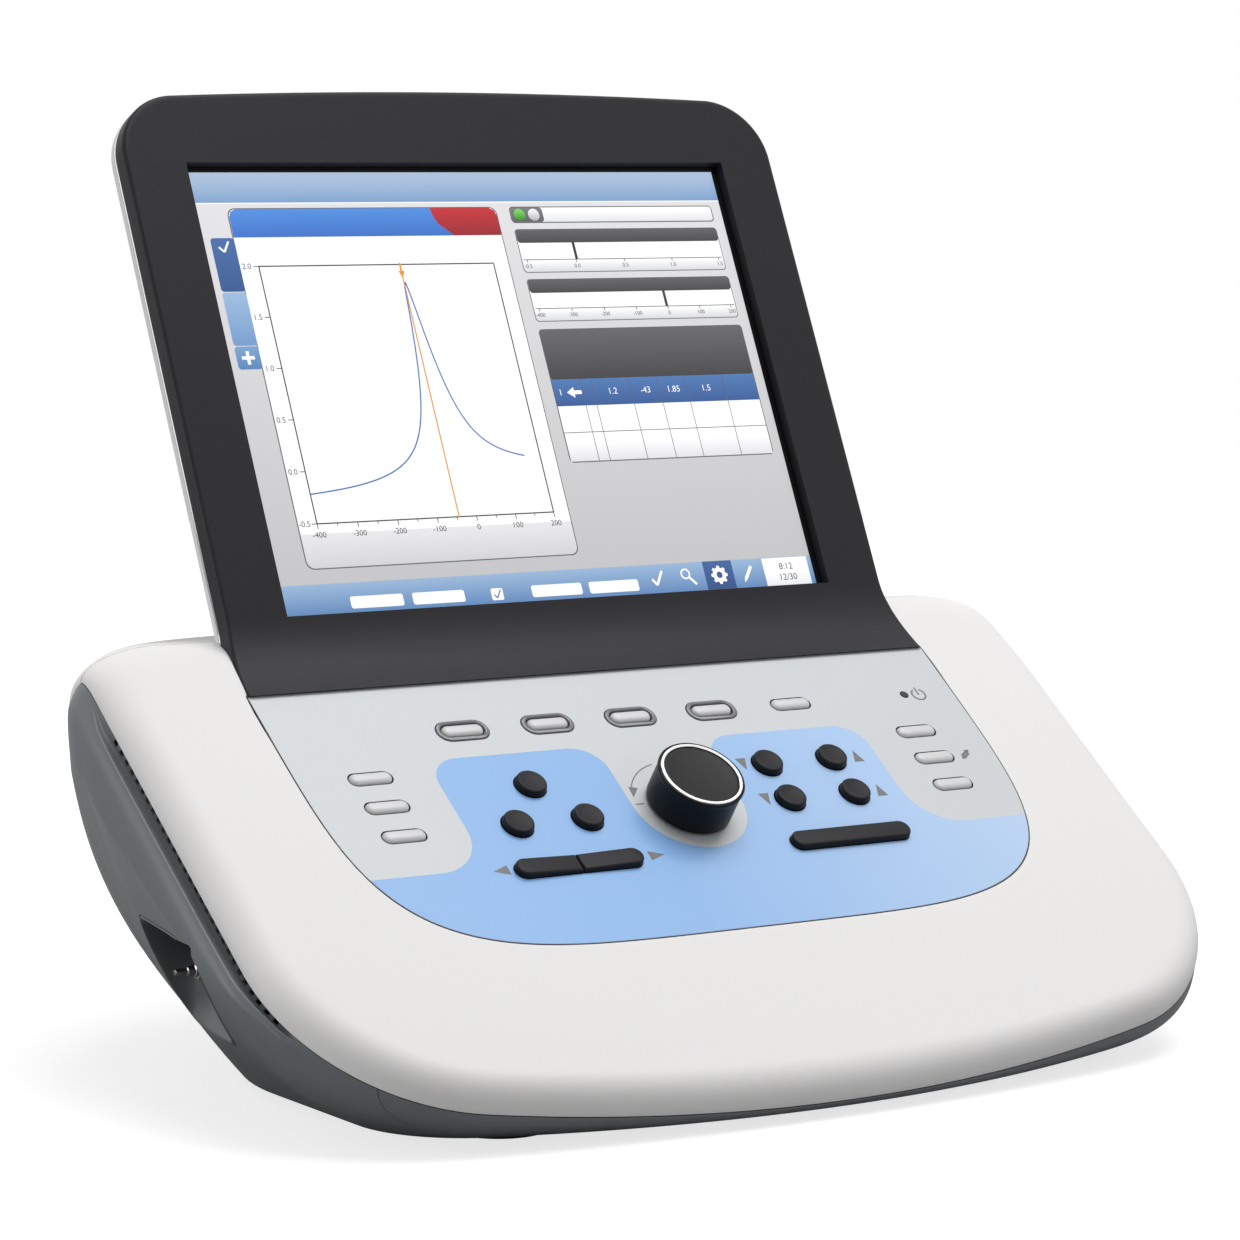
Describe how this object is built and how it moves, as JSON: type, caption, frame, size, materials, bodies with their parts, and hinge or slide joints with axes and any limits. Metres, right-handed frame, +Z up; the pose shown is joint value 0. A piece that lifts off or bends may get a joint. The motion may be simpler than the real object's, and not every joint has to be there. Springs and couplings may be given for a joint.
{
  "type": "clinical tympanometer",
  "caption": "Desktop clinical tympanometer with a sloping control face, a rotary knob, press keys, a leaning screen, a side air pocket and rear connectors.",
  "frame": {"origin": "middle of the footprint, on the surface the feet stand on", "axes": "+X to the right as the user faces the screen, +Y to the rear, +Z up"},
  "size_m": [0.3698, 0.2709, 0.3192],
  "materials": {
    "white_plastic": "fine satin",
    "housing_grey": "fine texture",
    "face_grey": "satin printed face",
    "key_grey": "satin",
    "key_black": "satin",
    "light_frame": "clear smoked",
    "bezel_charcoal": "fine texture",
    "bright_metal": "polished",
    "steel": "plain",
    "screen_glass": "glossy",
    "board_green": "varnished",
    "soft_rubber": "matt",
    "black_plastic": "satin",
    "lamp_lens": "clear"
  },
  "bodies": {
    "base": {"top_cover": "white_plastic", "rear_cover": "white_plastic", "screen_back": "white_plastic", "lower_housing": "housing_grey", "side_panel_left": "housing_grey", "side_panel_right": "housing_grey", "connector_bay": "housing_grey", "control_panel": "face_grey", "panel_frame": "black_plastic", "power_light": "lamp_lens", "key_board": "board_green", "main_board": "board_green", "encoder": "steel", "screen_bezel": "bezel_charcoal", "bezel_trim": "bright_metal", "display_panel": "screen_glass", "display_bracket": "steel", "chassis_tray": "steel", "power_supply": "steel", "air_pump": "steel", "air_tube": "soft_rubber", "side_pocket": "black_plastic", "air_nipple": "bright_metal", "power_inlet": "black_plastic", "data_sockets": "steel", "round_jack": "black_plastic", "key_light_1": "light_frame", "key_light_2": "light_frame", "key_light_3": "light_frame", "key_light_4": "light_frame", "foot_front_left": "soft_rubber", "foot_front_right": "soft_rubber", "foot_rear_left": "soft_rubber", "foot_rear_right": "soft_rubber"},
    "knob": {"knob_body": "soft_rubber", "knob_ring": "bright_metal", "knob_cap": "soft_rubber", "knob_shaft": "steel"},
    "rocker": {"power_switch": "black_plastic"},
    "mode_key_1_body": {"mode_key_1": "key_grey"},
    "mode_key_2_body": {"mode_key_2": "key_grey"},
    "mode_key_3_body": {"mode_key_3": "key_grey"},
    "mode_key_4_body": {"mode_key_4": "key_grey"},
    "mode_key_5_body": {"mode_key_5": "key_grey"},
    "left_key_1_body": {"left_key_1": "key_grey"},
    "left_key_2_body": {"left_key_2": "key_grey"},
    "left_key_3_body": {"left_key_3": "key_grey"},
    "right_key_1_body": {"right_key_1": "key_grey"},
    "right_key_2_body": {"right_key_2": "key_grey"},
    "right_key_3_body": {"right_key_3": "key_grey"},
    "round_key_1_body": {"round_key_1": "key_black"},
    "round_key_2_body": {"round_key_2": "key_black"},
    "round_key_3_body": {"round_key_3": "key_black"},
    "round_key_4_body": {"round_key_4": "key_black"},
    "round_key_5_body": {"round_key_5": "key_black"},
    "round_key_6_body": {"round_key_6": "key_black"},
    "round_key_7_body": {"round_key_7": "key_black"},
    "start_key_left_body": {"start_key_left": "key_black"},
    "start_key_right_body": {"start_key_right": "key_black"},
    "present_key_body": {"present_key": "key_black"}
  },
  "joints": [
    {"name": "knob_turn", "type": "hinge", "parent": "base", "child": "knob", "pos_m": [0, -0.04196, 0.08611], "axis": [0, -0.5955, 0.8033], "continuous": true},
    {"name": "rocker_tip", "type": "hinge", "parent": "base", "child": "rocker", "pos_m": [-0.023, 0.0838, 0.036], "axis": [1, 0, 0], "range_deg": [-16, 0]},
    {"name": "mode_key_1_press", "type": "slide", "parent": "base", "child": "mode_key_1_body", "axis": [0, 0.5955, -0.8033], "range_m": [0, 0.0012], "stiffness_N_per_m": 400, "springref_m": -0.001},
    {"name": "mode_key_2_press", "type": "slide", "parent": "base", "child": "mode_key_2_body", "axis": [0, 0.5955, -0.8033], "range_m": [0, 0.0012], "stiffness_N_per_m": 400, "springref_m": -0.001},
    {"name": "mode_key_3_press", "type": "slide", "parent": "base", "child": "mode_key_3_body", "axis": [0, 0.5955, -0.8033], "range_m": [0, 0.0012], "stiffness_N_per_m": 400, "springref_m": -0.001},
    {"name": "mode_key_4_press", "type": "slide", "parent": "base", "child": "mode_key_4_body", "axis": [0, 0.5955, -0.8033], "range_m": [0, 0.0012], "stiffness_N_per_m": 400, "springref_m": -0.001},
    {"name": "mode_key_5_press", "type": "slide", "parent": "base", "child": "mode_key_5_body", "axis": [0, 0.5955, -0.8033], "range_m": [0, 0.0012], "stiffness_N_per_m": 400, "springref_m": -0.001},
    {"name": "left_key_1_press", "type": "slide", "parent": "base", "child": "left_key_1_body", "axis": [0, 0.5955, -0.8033], "range_m": [0, 0.0012], "stiffness_N_per_m": 400, "springref_m": -0.001},
    {"name": "left_key_2_press", "type": "slide", "parent": "base", "child": "left_key_2_body", "axis": [0, 0.5955, -0.8033], "range_m": [0, 0.0012], "stiffness_N_per_m": 400, "springref_m": -0.001},
    {"name": "left_key_3_press", "type": "slide", "parent": "base", "child": "left_key_3_body", "axis": [0, 0.5955, -0.8033], "range_m": [0, 0.0012], "stiffness_N_per_m": 400, "springref_m": -0.001},
    {"name": "right_key_1_press", "type": "slide", "parent": "base", "child": "right_key_1_body", "axis": [0, 0.5955, -0.8033], "range_m": [0, 0.0012], "stiffness_N_per_m": 400, "springref_m": -0.001},
    {"name": "right_key_2_press", "type": "slide", "parent": "base", "child": "right_key_2_body", "axis": [0, 0.5955, -0.8033], "range_m": [0, 0.0012], "stiffness_N_per_m": 400, "springref_m": -0.001},
    {"name": "right_key_3_press", "type": "slide", "parent": "base", "child": "right_key_3_body", "axis": [0, 0.5955, -0.8033], "range_m": [0, 0.0012], "stiffness_N_per_m": 400, "springref_m": -0.001},
    {"name": "round_key_1_press", "type": "slide", "parent": "base", "child": "round_key_1_body", "axis": [0, 0.5955, -0.8033], "range_m": [0, 0.0012], "stiffness_N_per_m": 400, "springref_m": -0.001},
    {"name": "round_key_2_press", "type": "slide", "parent": "base", "child": "round_key_2_body", "axis": [0, 0.5955, -0.8033], "range_m": [0, 0.0012], "stiffness_N_per_m": 400, "springref_m": -0.001},
    {"name": "round_key_3_press", "type": "slide", "parent": "base", "child": "round_key_3_body", "axis": [0, 0.5955, -0.8033], "range_m": [0, 0.0012], "stiffness_N_per_m": 400, "springref_m": -0.001},
    {"name": "round_key_4_press", "type": "slide", "parent": "base", "child": "round_key_4_body", "axis": [0, 0.5955, -0.8033], "range_m": [0, 0.0012], "stiffness_N_per_m": 400, "springref_m": -0.001},
    {"name": "round_key_5_press", "type": "slide", "parent": "base", "child": "round_key_5_body", "axis": [0, 0.5955, -0.8033], "range_m": [0, 0.0012], "stiffness_N_per_m": 400, "springref_m": -0.001},
    {"name": "round_key_6_press", "type": "slide", "parent": "base", "child": "round_key_6_body", "axis": [0, 0.5955, -0.8033], "range_m": [0, 0.0012], "stiffness_N_per_m": 400, "springref_m": -0.001},
    {"name": "round_key_7_press", "type": "slide", "parent": "base", "child": "round_key_7_body", "axis": [0, 0.5955, -0.8033], "range_m": [0, 0.0012], "stiffness_N_per_m": 400, "springref_m": -0.001},
    {"name": "start_key_left_press", "type": "slide", "parent": "base", "child": "start_key_left_body", "axis": [0, 0.5955, -0.8033], "range_m": [0, 0.0012], "stiffness_N_per_m": 400, "springref_m": -0.001},
    {"name": "start_key_right_press", "type": "slide", "parent": "base", "child": "start_key_right_body", "axis": [0, 0.5955, -0.8033], "range_m": [0, 0.0012], "stiffness_N_per_m": 400, "springref_m": -0.001},
    {"name": "present_key_press", "type": "slide", "parent": "base", "child": "present_key_body", "axis": [0, 0.5955, -0.8033], "range_m": [0, 0.0012], "stiffness_N_per_m": 400, "springref_m": -0.001}
  ]
}
